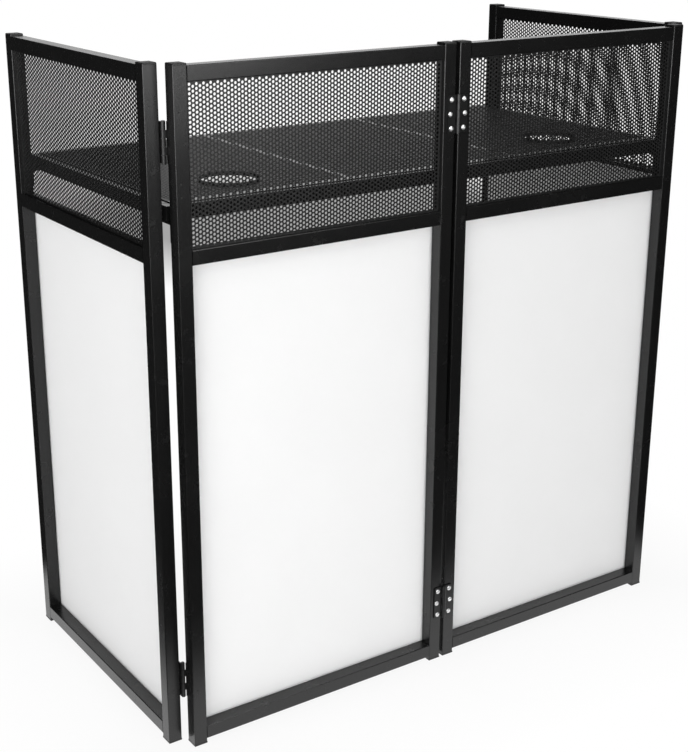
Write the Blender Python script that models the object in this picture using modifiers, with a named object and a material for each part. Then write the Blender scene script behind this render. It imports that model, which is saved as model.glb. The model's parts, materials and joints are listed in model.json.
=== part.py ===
"""DJ facade: four hinged screen panels standing round a lift-out perforated equipment table.

Units are metres, +Z is up, and the origin is on the floor under the middle of the whole object.
The audience side, where the two wide front panels stand, faces -Y.
"""

import math

import bpy
import bmesh
from mathutils import Matrix, Vector

# Square steel tube of every frame
TUBE = 0.025
WALL = 0.0012
TUBE_CORNER = 0.002
CORNER_STEPS = 2

# Gap kept between pieces that touch
SEAT = 0.0003

# Panels
POST_TOP = 1.187
FRONT_WIDTH = 0.545
WING_WIDTH = 0.547
CENTRE_GAP = 0.008
CORNER_INSET = 0.004
BOTTOM_RAIL = 0.0085
MIDDLE_RAIL = 0.871
TOP_RAIL = 1.158

# Plastic foot pushed into each post
FOOT_PAD = 0.003
FOOT_STEM = 0.016
FOOT_FINS = 3
FIN_THICK = 0.0016
FIN_SLACK = 0.0008
STEM_SLACK = 0.004

# Perforated infill of the upper windows, a shallow pan with its face toward the audience
GRILLE_SHEET = 0.001
GRILLE_SET_BACK = 0.007
GRILLE_RIM = 0.008
GRILLE_COLUMNS = 10
GRILLE_ROWS = 5
GRILLE_MARGIN = 0.006

# White stretch screen fixed behind the lower window
SCREEN_THICK = 0.002
SCREEN_LAP = 0.006
SCREEN_CORNER = 0.004

# Butt hinges
KNUCKLE_RADIUS = 0.0039
PIN_RADIUS = 0.002
PIN_SLACK = 0.0003
LEAF_THICK = 0.0018
LEAF_REACH = 0.021
LEAF_HEIGHT = 0.066
LEAF_CORNER = 0.003
KNUCKLES = 5
KNUCKLE_SLACK = 0.00025
NOTCH_REACH = KNUCKLE_RADIUS + 0.0005
PIN_HEAD_RADIUS = 0.0032
PIN_HEAD = 0.0009
HINGE_OFFSET = KNUCKLE_RADIUS + SEAT
HINGE_HEIGHTS = (0.1225, 1.065)
SCREW_HOLE_RADIUS = 0.0022
SCREW_PITCH = 0.0247
SCREW_NEAR = 0.0135
SCREW_FAR = 0.016

# Lift-out table
TABLE_UNDERSIDE = 0.938
TABLE_FRONT = 0.0345
TABLE_SIDE = 0.5485
TRAY_SHEET = 0.0012
TRAY_SEAM = 0.183
SEAM_GAP = 0.001
SEAM_FLANGE = 0.015
CABLE_HOLE_RADIUS = 0.0505
CABLE_HOLE_X = 0.364
CABLE_HOLE_BACK = 0.1245
RING_THICK = 0.002
RING_RISE = 0.005
RING_DROP = 0.0026
TRAY_COLUMNS = 4
TRAY_ROWS = 6
TRAY_MARGIN = 0.006

# Width of an opening as a share of the grid's pitch, for the real sheet's half-open look
OPENING_SHARE = 0.7

# Angle brackets that carry the table
BRACKET_THICK = 0.003
BRACKET_WIDTH = 0.022
BRACKET_LEG = 0.032
BRACKET_SHELF = 0.030
BRACKET_BEND = 0.0015

# Facets round knuckles, pins, screw holes and cable holes
KNUCKLE_SIDES = 12
PIN_SIDES = 10
SCREW_HOLE_SIDES = 8
CABLE_HOLE_SIDES = 32

# Places that follow from the sizes above
PIN_X = CENTRE_GAP / 2 + FRONT_WIDTH + CORNER_INSET
PIN_Y = TUBE + HINGE_OFFSET
WING_INNER_X = PIN_X + HINGE_OFFSET
WING_FRONT_Y = PIN_Y + CORNER_INSET
WING_BACK_Y = WING_FRONT_Y + WING_WIDTH
CENTRE_PIN_Y = -HINGE_OFFSET
DEPTH = WING_BACK_Y - CENTRE_PIN_Y + KNUCKLE_RADIUS
FRONT = KNUCKLE_RADIUS - CENTRE_PIN_Y - DEPTH / 2
BAR_TOP = TABLE_UNDERSIDE + TUBE
TRAY_TOP = BAR_TOP + SEAT + TRAY_SHEET

BLACK = (0.012, 0.012, 0.013, 1.0)
CHARCOAL = (0.018, 0.018, 0.019, 1.0)
SCREEN_WHITE = (0.86, 0.87, 0.88, 1.0)
PLASTIC_BLACK = (0.008, 0.008, 0.008, 1.0)


def clear_scene():
    for thing in list(bpy.data.objects):
        bpy.data.objects.remove(thing)


def new_collection(name):
    group = bpy.data.collections.new(name)
    bpy.context.scene.collection.children.link(group)
    return group


def principled(name, colour, roughness, metallic):
    """A plain Principled material of its own for one piece."""
    material = bpy.data.materials.new(name)
    material.use_nodes = True
    shader = material.node_tree.nodes["Principled BSDF"]
    shader.inputs["Base Color"].default_value = colour
    shader.inputs["Roughness"].default_value = roughness
    shader.inputs["Metallic"].default_value = metallic
    material.diffuse_color = colour
    return material


def powder_coat(name):
    return principled(name + "_powder_coat", BLACK, 0.42, 0.0)


def coated_sheet(name):
    return principled(name + "_coated_sheet", CHARCOAL, 0.5, 0.0)


def stretch_fabric(name):
    return principled(name + "_stretch_fabric", SCREEN_WHITE, 0.9, 0.0)


def black_plastic(name):
    return principled(name + "_plastic", PLASTIC_BLACK, 0.55, 0.0)


def black_steel(name):
    return principled(name + "_black_steel", BLACK, 0.35, 0.6)


def mesh_from(name, shape):
    """A mesh holding what was drawn in a bmesh, which is freed."""
    bmesh.ops.recalc_face_normals(shape, faces=shape.faces)
    mesh = bpy.data.meshes.new(name)
    shape.to_mesh(mesh)
    shape.free()
    return mesh


def block(name, low, high):
    """A box mesh between two corners."""
    low, high = Vector(low), Vector(high)
    shape = bmesh.new()
    bmesh.ops.create_cube(shape, size=1)
    bmesh.ops.scale(shape, vec=high - low, verts=shape.verts)
    bmesh.ops.translate(shape, vec=(low + high) / 2, verts=shape.verts)
    return mesh_from(name, shape)


def rod(name, radius, bottom, top, sides, centre=(0, 0)):
    """An upright round bar mesh."""
    shape = bmesh.new()
    bmesh.ops.create_cone(
        shape, cap_ends=True, segments=sides, radius1=radius, radius2=radius, depth=top - bottom
    )
    bmesh.ops.translate(shape, vec=(centre[0], centre[1], (bottom + top) / 2), verts=shape.verts)
    return mesh_from(name, shape)


def screw_hole(across, height):
    """The cutter of one screw hole through a hinge leaf, a round bar lying along Y."""
    reach = 2 * KNUCKLE_RADIUS
    mesh = rod("screw_hole", SCREW_HOLE_RADIUS, -reach, reach, SCREW_HOLE_SIDES)
    mesh.transform(Matrix.Translation((across, 0, height)) @ Matrix.Rotation(math.pi / 2, 4, "X"))
    return mesh


def opening_grid(low, high, columns, rows, depth, keep_clear=None):
    """The cutter of a plain grid of openings over a rectangle on XY, clear of a round hole if given."""
    low, high = Vector(low), Vector(high)
    pitch = Vector(((high.x - low.x) / columns, (high.y - low.y) / rows))
    size = pitch * OPENING_SHARE
    shape = bmesh.new()
    for column in range(columns):
        for row in range(rows):
            centre = low + Vector((pitch.x * (column + 0.5), pitch.y * (row + 0.5)))
            if keep_clear:
                away = [max(0.0, abs(c - h) - s / 2) for c, h, s in zip(centre, keep_clear, size)]
                if math.hypot(*away) < CABLE_HOLE_RADIUS + RING_THICK + TRAY_MARGIN:
                    continue
            opening = bmesh.ops.create_cube(shape, size=1)["verts"]
            bmesh.ops.scale(shape, vec=(size.x, size.y, depth), verts=opening)
            bmesh.ops.translate(shape, vec=(centre.x, centre.y, 0), verts=opening)
    return mesh_from("openings", shape)


def open_sides(mesh, *directions):
    """Removes the faces that look the given ways, which leaves an open surface."""
    shape = bmesh.new()
    shape.from_mesh(mesh)
    gone = [f for f in shape.faces if any(f.normal.dot(Vector(d)) > 0.9 for d in directions)]
    bmesh.ops.delete(shape, geom=gone, context="FACES")
    shape.to_mesh(mesh)
    shape.free()
    return mesh


def bevel(thing, width, segments, angle=30):
    edge = thing.modifiers.new("edges", "BEVEL")
    edge.width = width
    edge.segments = segments
    edge.limit_method = "ANGLE"
    edge.angle_limit = math.radians(angle)


def thicken(thing, thickness):
    """Gives an open surface its wall, inward from the face drawn."""
    wall = thing.modifiers.new("wall", "SOLIDIFY")
    wall.thickness = thickness
    wall.offset = -1
    wall.use_even_offset = True


def boolean(thing, tool, operation):
    cut = thing.modifiers.new(operation.lower(), "BOOLEAN")
    cut.object = tool
    cut.operation = operation
    cut.solver = "EXACT"


def baked(thing):
    """The mesh that an object's modifiers give, with the object itself removed."""
    bpy.context.view_layer.update()
    seen = thing.evaluated_get(bpy.context.evaluated_depsgraph_get())
    mesh = bpy.data.meshes.new_from_object(seen)
    mesh.name = thing.name
    bpy.data.objects.remove(thing)
    return mesh


def rounded(mesh):
    """Smooth shading that stays crisp at real edges."""
    mesh.shade_smooth()
    mesh.set_sharp_from_angle(angle=math.radians(35))


class Build:
    """The two collections, and the ways to add a piece or a cutter to them."""

    def __init__(self):
        self.parts = new_collection("dj_facade")
        self.cutters = new_collection("cutters")

    def cutter(self, name, mesh):
        tool = bpy.data.objects.new(name, mesh)
        tool.hide_render = True
        tool.display_type = "WIRE"
        self.cutters.objects.link(tool)
        return tool

    def body(self, name, pivot):
        """The empty that a moving body hangs on, with its origin on the joint's axis."""
        empty = bpy.data.objects.new(name, None)
        empty.empty_display_size = 0.05
        empty.location = pivot
        self.parts.objects.link(empty)
        return empty

    def piece(self, name, mesh, body, place, look):
        """Adds one named piece at a place in the object's frame, carried by its body."""
        thing = bpy.data.objects.new(name, mesh)
        self.parts.objects.link(thing)
        thing.parent = body
        thing.matrix_parent_inverse = Matrix.Translation(-body.location)
        thing.matrix_basis = place
        if not mesh.materials:
            mesh.materials.append(None)
        thing.material_slots[0].link = "OBJECT"
        thing.material_slots[0].material = look(name)
        return thing


def square_tube(length, closed_top):
    """A rounded square tube standing on its open end, as a mesh without its wall thickness."""
    half = TUBE / 2
    mesh = block("square_tube", (-half, -half, 0), (half, half, length))
    if closed_top:
        return open_sides(mesh, (0, 0, -1))
    return open_sides(mesh, (0, 0, -1), (0, 0, 1))


def add_tube(build, name, body, place, length, closed_top=False):
    tube = build.piece(name, square_tube(length, closed_top), body, place, powder_coat)
    bevel(tube, TUBE_CORNER, CORNER_STEPS)
    thicken(tube, WALL)


def foot_mesh():
    """A square tube insert: pad below, stem with grip fins above, turned in four steps."""
    bore = TUBE / 2 - WALL
    fin = bore - FIN_SLACK / 2
    stem = bore - STEM_SLACK / 2
    outline = [(TUBE / 2, 0), (TUBE / 2, FOOT_PAD), (stem, FOOT_PAD)]
    step = (FOOT_STEM - FOOT_FINS * FIN_THICK) / FOOT_FINS
    for number in range(FOOT_FINS):
        low = FOOT_PAD + step + number * (step + FIN_THICK)
        outline += [(stem, low), (fin, low), (fin, low + FIN_THICK), (stem, low + FIN_THICK)]
    outline = [(0, 0)] + outline[:-1] + [(0, FOOT_PAD + FOOT_STEM)]
    shape = bmesh.new()
    corner = math.sqrt(2)
    points = [shape.verts.new((across * corner, 0, height)) for across, height in reversed(outline)]
    for first, second in zip(points, points[1:]):
        shape.edges.new((first, second))
    mesh = bpy.data.meshes.new("foot_profile")
    shape.to_mesh(mesh)
    shape.free()
    return mesh


def baked_foot(build):
    foot = build.cutter("foot_form", foot_mesh())
    turn = foot.modifiers.new("turn", "SCREW")
    turn.steps = turn.render_steps = 4
    turn.use_merge_vertices = True
    turn.merge_threshold = 0.00001
    turn.use_smooth_shade = False
    mesh = baked(foot)
    mesh.transform(Matrix.Rotation(math.pi / 4, 4, "Z"))
    return mesh


def knuckle_span(number):
    """Bottom and top of one knuckle, counted from the hinge's lower end."""
    height = LEAF_HEIGHT / KNUCKLES
    bottom = -LEAF_HEIGHT / 2 + number * height
    return bottom, bottom + height


def leaf_plate():
    """The flat of a hinge leaf, from the pin's line outward, with its two free corners rounded."""
    mesh = block(
        "leaf",
        (0, KNUCKLE_RADIUS - LEAF_THICK, -LEAF_HEIGHT / 2 + KNUCKLE_SLACK),
        (LEAF_REACH, KNUCKLE_RADIUS, LEAF_HEIGHT / 2 - KNUCKLE_SLACK),
    )
    shape = bmesh.new()
    shape.from_mesh(mesh)
    far = [e for e in shape.edges if all(v.co.x > LEAF_REACH / 2 for v in e.verts)]
    corners = [e for e in far if abs(e.verts[0].co.y - e.verts[1].co.y) > LEAF_THICK / 2]
    bmesh.ops.bevel(shape, geom=corners, offset=LEAF_CORNER, segments=3, profile=0.5, affect="EDGES")
    shape.to_mesh(mesh)
    shape.free()
    return mesh


def hinge_leaf(build, own, holds_pin):
    """One leaf round the pin's axis: own knuckles kept, the other leaf's knuckles notched out."""
    leaf = build.cutter("leaf_with_pin" if holds_pin else "leaf_with_bores", leaf_plate())
    for number in range(KNUCKLES):
        bottom, top = knuckle_span(number)
        if number in own:
            ends = (bottom + KNUCKLE_SLACK, top - KNUCKLE_SLACK)
            barrel = rod("knuckle", KNUCKLE_RADIUS, *ends, KNUCKLE_SIDES)
            boolean(leaf, build.cutter("knuckle", barrel), "UNION")
            continue
        reach = NOTCH_REACH
        low = (-reach, -reach, bottom - KNUCKLE_SLACK)
        high = (reach, reach, top + KNUCKLE_SLACK)
        boolean(leaf, build.cutter("notch", block("notch", low, high)), "DIFFERENCE")
    end = LEAF_HEIGHT / 2
    if holds_pin:
        pin = rod("pin", PIN_RADIUS, -end, end, PIN_SIDES)
        boolean(leaf, build.cutter("pin", pin), "UNION")
        for side in (-1, 1):
            ends = sorted((side * (end - 2 * KNUCKLE_SLACK), side * (end + PIN_HEAD)))
            head = rod("pin_head", PIN_HEAD_RADIUS, *ends, PIN_SIDES)
            boolean(leaf, build.cutter("pin_head", head), "UNION")
    else:
        bore = rod("bore", PIN_RADIUS + PIN_SLACK, -2 * end, 2 * end, PIN_SIDES)
        boolean(leaf, build.cutter("bore", bore), "DIFFERENCE")
    for row, across in ((-1, SCREW_NEAR), (0, SCREW_FAR), (1, SCREW_NEAR)):
        hole = screw_hole(across, row * SCREW_PITCH)
        boolean(leaf, build.cutter("screw_hole", hole), "DIFFERENCE")
    mesh = baked(leaf)
    rounded(mesh)
    return mesh


class Panel:
    """One screen panel. Its own X runs left to right seen from outside, its own Y runs inward."""

    def __init__(self, name, body, corner, turn, width, posts):
        self.name = name
        self.body = body
        self.width = width
        self.posts = posts
        self.frame = Matrix.Translation(corner) @ Matrix.Rotation(turn, 4, "Z")

    def at(self, x, y, z):
        return self.frame @ Matrix.Translation((x, y, z))


def add_posts(build, panel, foot):
    for post, x in zip(panel.posts, (TUBE / 2, panel.width - TUBE / 2)):
        name = panel.name + "_" + post
        start = FOOT_PAD + SEAT
        place = panel.at(x, TUBE / 2, start)
        add_tube(build, name, panel.body, place, POST_TOP - start, closed_top=True)
        build.piece(name + "_foot", foot, panel.body, panel.at(x, TUBE / 2, 0), black_plastic)


def add_rails(build, panel):
    length = panel.width - 2 * TUBE - 2 * SEAT
    lying = Matrix.Rotation(math.pi / 2, 4, "Y")
    for rail, z in (("bottom_rail", BOTTOM_RAIL), ("middle_rail", MIDDLE_RAIL), ("top_rail", TOP_RAIL)):
        place = panel.at(TUBE + SEAT, TUBE / 2, z + TUBE / 2) @ lying
        add_tube(build, panel.name + "_" + rail, panel.body, place, length)


def add_grille(build, panel):
    """The open infill between the middle and top rails, a pan whose rim turns inward."""
    wide = panel.width - 2 * TUBE - 2 * SEAT
    low = MIDDLE_RAIL + TUBE + SEAT
    tall = TOP_RAIL - SEAT - low
    pan = block("grille", (0, 0, 0), (wide, GRILLE_RIM, tall))
    grille = build.cutter("grille_form", open_sides(pan, (0, 1, 0)))
    thicken(grille, GRILLE_SHEET)
    edge = GRILLE_MARGIN
    grid = opening_grid(
        (edge, edge), (wide - edge, tall - edge), GRILLE_COLUMNS, GRILLE_ROWS, 3 * GRILLE_SHEET
    )
    grid.transform(Matrix.Rotation(math.pi / 2, 4, "X"))
    boolean(grille, build.cutter("grille_openings", grid), "DIFFERENCE")
    place = panel.at(TUBE + SEAT, GRILLE_SET_BACK, low)
    build.piece(panel.name + "_grille", baked(grille), panel.body, place, coated_sheet)


def add_screen(build, panel):
    """The white cloth behind the lower window, lapping the backs of the four tubes round it."""
    wide = panel.width - 2 * TUBE + 2 * SCREEN_LAP
    low = BOTTOM_RAIL + TUBE - SCREEN_LAP
    high = MIDDLE_RAIL + SCREEN_LAP
    mesh = block("screen", (0, 0, 0), (wide, SCREEN_THICK, high - low))
    shape = bmesh.new()
    shape.from_mesh(mesh)
    corners = [e for e in shape.edges if abs(e.verts[0].co.y - e.verts[1].co.y) > SCREEN_THICK / 2]
    bmesh.ops.bevel(shape, geom=corners, offset=SCREEN_CORNER, segments=3, profile=0.5, affect="EDGES")
    shape.to_mesh(mesh)
    shape.free()
    place = panel.at(TUBE - SCREEN_LAP, TUBE + SEAT, low)
    build.piece(panel.name + "_screen", mesh, panel.body, place, stretch_fabric)


def bracket_mesh():
    """An angle bracket: leg hanging down at y = 0, shelf reaching inward along +Y at the top."""
    half = BRACKET_WIDTH / 2
    mesh = block("bracket", (-half, 0, -BRACKET_LEG), (half, BRACKET_SHELF, 0))
    return open_sides(mesh, (1, 0, 0), (-1, 0, 0), (0, 1, 0), (0, 0, -1))


def add_bracket(build, panel, name, x):
    top = TABLE_UNDERSIDE - SEAT
    bracket = build.piece(name, bracket_mesh(), panel.body, panel.at(x, TUBE + SEAT, top), black_steel)
    bevel(bracket, BRACKET_BEND, CORNER_STEPS)
    thicken(bracket, BRACKET_THICK)


def add_hinges(build, left, right, pin, names, turns, meshes):
    """A lower and an upper butt hinge, one leaf on each of two neighbouring panels."""
    for level, height in zip(("lower", "upper"), HINGE_HEIGHTS):
        spot = Matrix.Translation((pin[0], pin[1], height))
        for panel, name, turn, mesh in zip((left, right), names, turns, meshes):
            full = name.format(level)
            build.piece(full, mesh, panel.body, spot @ turn, black_steel)


def tray_mesh(build, name, left, right, flanges, hole):
    """A table tray: open sheet, flanges turned down at the seams, and a ringed cable hole or none."""
    back = FRONT + WING_BACK_Y
    front = FRONT + TABLE_FRONT
    low = BAR_TOP + SEAT
    tray = build.cutter(name + "_form", block(name, (left, front, low), (right, back, TRAY_TOP)))
    edge = TUBE + TRAY_MARGIN
    ends = [x + side * (TRAY_MARGIN if x in flanges else edge) for x, side in ((left, 1), (right, -1))]
    grid = opening_grid(
        (ends[0], front + edge), (ends[1], back - edge), TRAY_COLUMNS, TRAY_ROWS, 3 * TRAY_SHEET, hole
    )
    grid.transform(Matrix.Translation((0, 0, TRAY_TOP)))
    boolean(tray, build.cutter("tray_openings", grid), "DIFFERENCE")
    for edge in flanges:
        inward = 1 if edge == left else -1
        side = sorted((edge, edge + inward * TRAY_SHEET))
        clear = TUBE + 2 * SEAT
        flange = block(
            "flange",
            (side[0], front + clear, TRAY_TOP - SEAM_FLANGE),
            (side[1], back - clear, TRAY_TOP - TRAY_SHEET / 2),
        )
        boolean(tray, build.cutter("flange", flange), "UNION")
    if hole:
        outside = CABLE_HOLE_RADIUS + RING_THICK
        ends = (TRAY_TOP - RING_DROP, TRAY_TOP + RING_RISE)
        ring = rod("ring", outside, *ends, CABLE_HOLE_SIDES, hole)
        boolean(tray, build.cutter("ring", ring), "UNION")
        bore = rod("cable_hole", CABLE_HOLE_RADIUS, low - TUBE, TRAY_TOP + TUBE, CABLE_HOLE_SIDES, hole)
        boolean(tray, build.cutter("cable_hole", bore), "DIFFERENCE")
    return baked(tray)


def add_table(build, body):
    """The lift-out table: four bars round the edge and three sheet trays that lie on them."""
    front = FRONT + TABLE_FRONT + TUBE / 2
    back = FRONT + WING_BACK_Y - TUBE / 2
    height = TABLE_UNDERSIDE + TUBE / 2
    along_x = Matrix.Rotation(math.pi / 2, 4, "Y")
    along_y = Matrix.Rotation(-math.pi / 2, 4, "X")
    for name, y in (("table_front_bar", front), ("table_rear_bar", back)):
        place = Matrix.Translation((-TABLE_SIDE, y, height)) @ along_x
        add_tube(build, name, body, place, 2 * TABLE_SIDE)
    between = TUBE / 2 + SEAT
    for name, x in (("table_left_bar", -TABLE_SIDE + TUBE / 2), ("table_right_bar", TABLE_SIDE - TUBE / 2)):
        place = Matrix.Translation((x, front + between, height)) @ along_y
        add_tube(build, name, body, place, back - front - 2 * between)
    inner = TRAY_SEAM - SEAM_GAP / 2
    outer = TRAY_SEAM + SEAM_GAP / 2
    hole_y = FRONT + TABLE_FRONT + CABLE_HOLE_BACK
    trays = (
        ("table_left_tray", -TABLE_SIDE, -outer, (-outer,), (-CABLE_HOLE_X, hole_y)),
        ("table_middle_tray", -inner, inner, (-inner, inner), None),
        ("table_right_tray", outer, TABLE_SIDE, (outer,), (CABLE_HOLE_X, hole_y)),
    )
    for name, left, right, flanges, hole in trays:
        mesh = tray_mesh(build, name, left, right, flanges, hole)
        build.piece(name, mesh, body, Matrix.Identity(4), coated_sheet)


def main():
    clear_scene()
    build = Build()
    quarter = math.pi / 2
    foot = baked_foot(build)

    left_pin = Vector((-PIN_X, FRONT + PIN_Y, 0))
    right_pin = Vector((PIN_X, FRONT + PIN_Y, 0))
    centre_pin = Vector((0, FRONT + CENTRE_PIN_Y, 0))
    front_left_body = build.body("front_left_body", Vector((0, 0, 0)))
    front_right_body = build.body("front_right_body", centre_pin)
    left_wing_body = build.body("left_wing_body", left_pin)
    right_wing_body = build.body("right_wing_body", right_pin)
    table_body = build.body("table_body", Vector((0, 0, TABLE_UNDERSIDE)))

    back = FRONT + WING_BACK_Y
    seam = CENTRE_GAP / 2
    outer_x = WING_INNER_X + TUBE
    fl = Panel("front_left", front_left_body, (-seam - FRONT_WIDTH, FRONT, 0), 0, FRONT_WIDTH,
               ("outer_post", "inner_post"))
    fr = Panel("front_right", front_right_body, (seam, FRONT, 0), 0, FRONT_WIDTH,
               ("inner_post", "outer_post"))
    lw = Panel("left_wing", left_wing_body, (-outer_x, back, 0), -quarter, WING_WIDTH,
               ("rear_post", "front_post"))
    rw = Panel("right_wing", right_wing_body, (outer_x, FRONT + WING_FRONT_Y, 0), quarter, WING_WIDTH,
               ("front_post", "rear_post"))
    for panel in (fl, fr, lw, rw):
        add_posts(build, panel, foot)
        add_rails(build, panel)
        add_grille(build, panel)
        add_screen(build, panel)

    with_pin = hinge_leaf(build, (0, 2, 4), holds_pin=True)
    with_bores = hinge_leaf(build, (1, 3), holds_pin=False)
    straight = Matrix.Identity(4)
    flipped = Matrix.Rotation(math.pi, 4, "Y")
    inside_left = Matrix.Rotation(math.pi, 4, "X")
    inside_right = Matrix.Rotation(math.pi, 4, "Z")
    on_left_wing = Matrix.Rotation(quarter, 4, "Z")
    on_right_wing = Matrix.Rotation(math.pi, 4, Vector((1, 1, 0)))
    add_hinges(build, fl, fr, centre_pin, ("centre_hinge_{}_left_leaf", "centre_hinge_{}_right_leaf"),
               (flipped, straight), (with_pin, with_bores))
    add_hinges(build, fl, lw, left_pin, ("left_hinge_{}_front_leaf", "left_hinge_{}_wing_leaf"),
               (inside_left, on_left_wing), (with_bores, with_pin))
    add_hinges(build, fr, rw, right_pin, ("right_hinge_{}_front_leaf", "right_hinge_{}_wing_leaf"),
               (inside_right, on_right_wing), (with_bores, with_pin))

    middle = TUBE / 2
    add_bracket(build, fl, "front_left_table_bracket", middle)
    add_bracket(build, fr, "front_right_table_bracket", FRONT_WIDTH - middle)
    add_bracket(build, lw, "left_wing_table_bracket", middle)
    add_bracket(build, rw, "right_wing_table_bracket", WING_WIDTH - middle)
    add_table(build, table_body)

    for tool in list(build.cutters.objects):
        bpy.data.objects.remove(tool)


main()
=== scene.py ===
"""Dresses the DJ facade: tubes, caps, punched sheets, stretched screens, screws, plugs and finishes."""

import json
import math

import bmesh
import bpy
from mathutils import Matrix, Vector

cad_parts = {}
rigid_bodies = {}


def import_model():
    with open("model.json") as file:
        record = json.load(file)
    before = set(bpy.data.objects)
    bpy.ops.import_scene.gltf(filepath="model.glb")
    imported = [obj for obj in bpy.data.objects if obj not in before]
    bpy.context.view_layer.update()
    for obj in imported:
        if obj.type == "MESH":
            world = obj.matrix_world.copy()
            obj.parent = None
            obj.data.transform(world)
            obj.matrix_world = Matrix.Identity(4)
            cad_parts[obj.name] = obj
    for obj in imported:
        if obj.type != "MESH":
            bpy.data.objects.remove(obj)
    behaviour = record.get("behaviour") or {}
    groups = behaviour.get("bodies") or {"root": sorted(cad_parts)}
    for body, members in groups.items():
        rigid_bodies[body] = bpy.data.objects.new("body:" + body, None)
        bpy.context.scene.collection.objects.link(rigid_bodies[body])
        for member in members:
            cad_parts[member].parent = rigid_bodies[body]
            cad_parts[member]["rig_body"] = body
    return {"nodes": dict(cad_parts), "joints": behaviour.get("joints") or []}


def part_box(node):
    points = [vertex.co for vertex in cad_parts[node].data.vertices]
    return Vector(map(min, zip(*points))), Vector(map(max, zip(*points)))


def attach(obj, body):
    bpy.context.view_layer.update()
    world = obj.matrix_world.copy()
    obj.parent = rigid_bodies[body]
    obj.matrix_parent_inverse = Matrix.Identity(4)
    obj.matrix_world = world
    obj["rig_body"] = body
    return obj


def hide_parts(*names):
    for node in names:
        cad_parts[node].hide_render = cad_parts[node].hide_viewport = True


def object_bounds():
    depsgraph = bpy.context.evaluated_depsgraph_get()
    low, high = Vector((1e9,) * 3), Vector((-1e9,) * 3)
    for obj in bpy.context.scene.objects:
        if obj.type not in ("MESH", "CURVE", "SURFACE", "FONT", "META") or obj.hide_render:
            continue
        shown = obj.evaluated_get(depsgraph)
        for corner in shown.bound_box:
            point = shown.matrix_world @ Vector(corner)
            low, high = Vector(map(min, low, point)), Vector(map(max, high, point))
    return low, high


bl_info = {
    "name": "DJ Facade Dressing",
    "version": (1, 1, 0),
    "blender": (4, 5, 0),
    "location": "View3D > Sidebar > Facade",
    "description": "Adds the tubes, punched sheets, screens, fastenings and finishes of a DJ facade",
    "category": "Object",
}

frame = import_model()
CAD_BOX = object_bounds()

PANELS = ("front_left", "front_right", "left_wing", "right_wing")
OUTWARD = {
    "front_left": Vector((0, -1, 0)),
    "front_right": Vector((0, -1, 0)),
    "left_wing": Vector((-1, 0, 0)),
    "right_wing": Vector((1, 0, 0)),
}
UP = Vector((0, 0, 1))
TUBE_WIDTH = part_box("front_left_middle_rail")[1].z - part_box("front_left_middle_rail")[0].z
TRAY_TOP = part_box("table_middle_tray")[1].z
FLOOR_Z = CAD_BOX[0].z
TOUCH = 1e-6


def length_property(name, default, description=""):
    return bpy.props.FloatProperty(name=name, description=description, default=default, unit="LENGTH")


def grey_property(name, shade, description=""):
    return bpy.props.FloatVectorProperty(
        name=name, description=description, subtype="COLOR", default=(shade, shade, shade))


class FacadeSizes(bpy.types.PropertyGroup):
    """Sizes of the pieces that dress the frame."""

    tube_corner: length_property("Tube corner", 0.0016, "Outer corner radius of the square tube")
    tube_wall: length_property("Tube wall", 0.0012, "Wall thickness of the square tube")
    cap_height: length_property("Cap height", 0.0034, "Height of the cap that closes a post")
    hole_pitch: length_property("Hole pitch", 0.00722, "Between the centres of neighbouring holes")
    hole_diameter: length_property("Hole diameter", 0.005, "Across one punched hole")
    grille_sheet: length_property("Grille sheet", 0.001, "Thickness of the window grilles")
    grille_sides: length_property(
        "Grille side margin", 0.0021, "Least unpunched width at the sides of a grille")
    grille_ends: length_property(
        "Grille end margin", 0.0015, "Least unpunched width above and below a grille")
    tray_sheet: length_property("Tray sheet", 0.0012, "Thickness of the table trays")
    tray_sides: length_property(
        "Tray side margin", 0.0038, "Least unpunched width beside the seams of a tray")
    tray_ends: length_property(
        "Tray end margin", 0.0125, "Least unpunched width at the front and rear of a tray")
    ring_inside: length_property("Cable ring", 0.0518, "Inner radius of the ring in a cable hole")
    ring_thick: length_property("Ring wall", 0.0012, "Wall thickness of the cable ring")
    screw_diameter: length_property("Screw head", 0.0092, "Across a pan head")
    screw_height: length_property("Screw height", 0.0021, "Height of a pan head")
    cloth_thickness: length_property("Cloth", 0.0008, "Thickness of the stretch cloth")
    hem_width: length_property("Hem", 0.0055, "Width of the turned hem")


class FacadeColours(bpy.types.PropertyGroup):
    """Colours of the finishes."""

    coat: grey_property("Powder coat", 0.0048, "Black coat of the tubes")
    sheet: grey_property("Sheet coat", 0.0065, "Black coat of the punched sheets")
    steel: grey_property("Hinge steel", 0.005, "Blackened steel of the hinges and brackets")
    plastic: grey_property("Plug plastic", 0.0052, "Moulded caps, plugs, rings and feet")
    cloth: grey_property("Screen cloth", 0.845, "White stretch cloth")
    zinc: grey_property("Zinc", 0.905, "Plated screws")
    floor: grey_property("Floor", 0.9, "Pale studio floor")


def sizes():
    return bpy.context.scene.facade_sizes


def colours():
    return bpy.context.scene.facade_colours


# Shader maths written as plain sums, and the places of the colour sockets on a Mix node

MIX_COLOURS = (6, 7)
MIX_RESULT = 2


class Signal:
    """A number on its way through a material, which adds, takes away and scales like a number."""

    def __init__(self, finish, socket):
        self.finish = finish
        self.socket = socket

    def maths(self, operation, *values):
        sockets = dict(enumerate(values or (self,)))
        return self.finish.node("ShaderNodeMath", {"operation": operation}, sockets)

    def __add__(self, other):
        return self.maths("ADD", self, other)

    __radd__ = __add__

    def __sub__(self, other):
        return self.maths("SUBTRACT", self, other)

    def __rsub__(self, other):
        return self.maths("SUBTRACT", other, self)

    def __mul__(self, other):
        return self.maths("MULTIPLY", self, other)

    __rmul__ = __mul__

    def __pow__(self, other):
        return self.maths("POWER", self, other)

    def __abs__(self):
        return self.maths("ABSOLUTE")


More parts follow.
